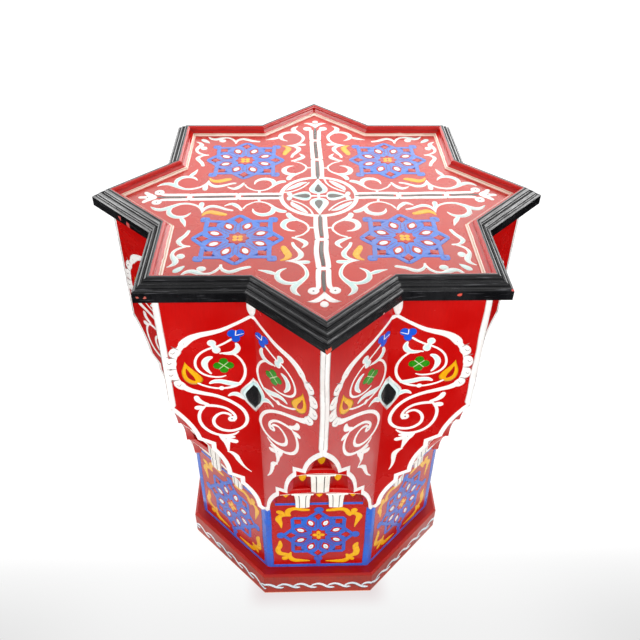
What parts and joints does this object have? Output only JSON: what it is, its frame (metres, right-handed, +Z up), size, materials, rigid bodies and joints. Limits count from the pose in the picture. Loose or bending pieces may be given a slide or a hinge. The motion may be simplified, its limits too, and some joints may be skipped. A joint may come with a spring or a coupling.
{
  "type": "star-top stool",
  "caption": "Painted wooden stool with a framed star-shaped top, scalloped hanging side boards over stepped niche carving, and an octagonal body on a plinth.",
  "frame": {"origin": "on the floor, under the middle of the stool", "axes": "+Z up along the stool's axis; one star point faces -Y, and another faces +X"},
  "size_m": [0.45, 0.45, 0.48],
  "materials": {
    "top_panel_paint": "oil paint on a wooden board, red ground with white, blue, yellow and black ornament",
    "rim_paint": "black oil paint on moulded wood, dark red inner side, worn at the edges",
    "wall_paint": "glossy red oil paint with white and coloured ornament",
    "core_paint": "glossy red oil paint with blue rosettes and yellow scrolls",
    "plinth_paint": "red-brown oil paint with a pale braid",
    "carving_paint": "red oil paint on carved wood, with white piers",
    "bare_wood": "unfinished softwood"
  },
  "bodies": {
    "root": {"top_board": "top_panel_paint", "rim_moulding_01": "rim_paint", "rim_moulding_02": "rim_paint", "rim_moulding_03": "rim_paint", "rim_moulding_04": "rim_paint", "rim_moulding_05": "rim_paint", "rim_moulding_06": "rim_paint", "rim_moulding_07": "rim_paint", "rim_moulding_08": "rim_paint", "rim_moulding_09": "rim_paint", "rim_moulding_10": "rim_paint", "rim_moulding_11": "rim_paint", "rim_moulding_12": "rim_paint", "rim_moulding_13": "rim_paint", "rim_moulding_14": "rim_paint", "rim_moulding_15": "rim_paint", "rim_moulding_16": "rim_paint", "wall_board_01": "wall_paint", "wall_board_02": "wall_paint", "wall_board_03": "wall_paint", "wall_board_04": "wall_paint", "wall_board_05": "wall_paint", "wall_board_06": "wall_paint", "wall_board_07": "wall_paint", "wall_board_08": "wall_paint", "wall_board_09": "wall_paint", "wall_board_10": "wall_paint", "wall_board_11": "wall_paint", "wall_board_12": "wall_paint", "wall_board_13": "wall_paint", "wall_board_14": "wall_paint", "wall_board_15": "wall_paint", "wall_board_16": "wall_paint", "core_board_1": "core_paint", "core_board_2": "core_paint", "core_board_3": "core_paint", "core_board_4": "core_paint", "core_board_5": "core_paint", "core_board_6": "core_paint", "core_board_7": "core_paint", "core_board_8": "core_paint", "plinth_moulding_1": "plinth_paint", "plinth_moulding_2": "plinth_paint", "plinth_moulding_3": "plinth_paint", "plinth_moulding_4": "plinth_paint", "plinth_moulding_5": "plinth_paint", "plinth_moulding_6": "plinth_paint", "plinth_moulding_7": "plinth_paint", "plinth_moulding_8": "plinth_paint", "muqarnas_point_1": "carving_paint", "muqarnas_point_2": "carving_paint", "muqarnas_point_3": "carving_paint", "muqarnas_point_4": "carving_paint", "muqarnas_point_5": "carving_paint", "muqarnas_point_6": "carving_paint", "muqarnas_point_7": "carving_paint", "muqarnas_point_8": "carving_paint", "corner_glue_blocks": "bare_wood", "point_cleats": "bare_wood"}
  },
  "joints": []
}
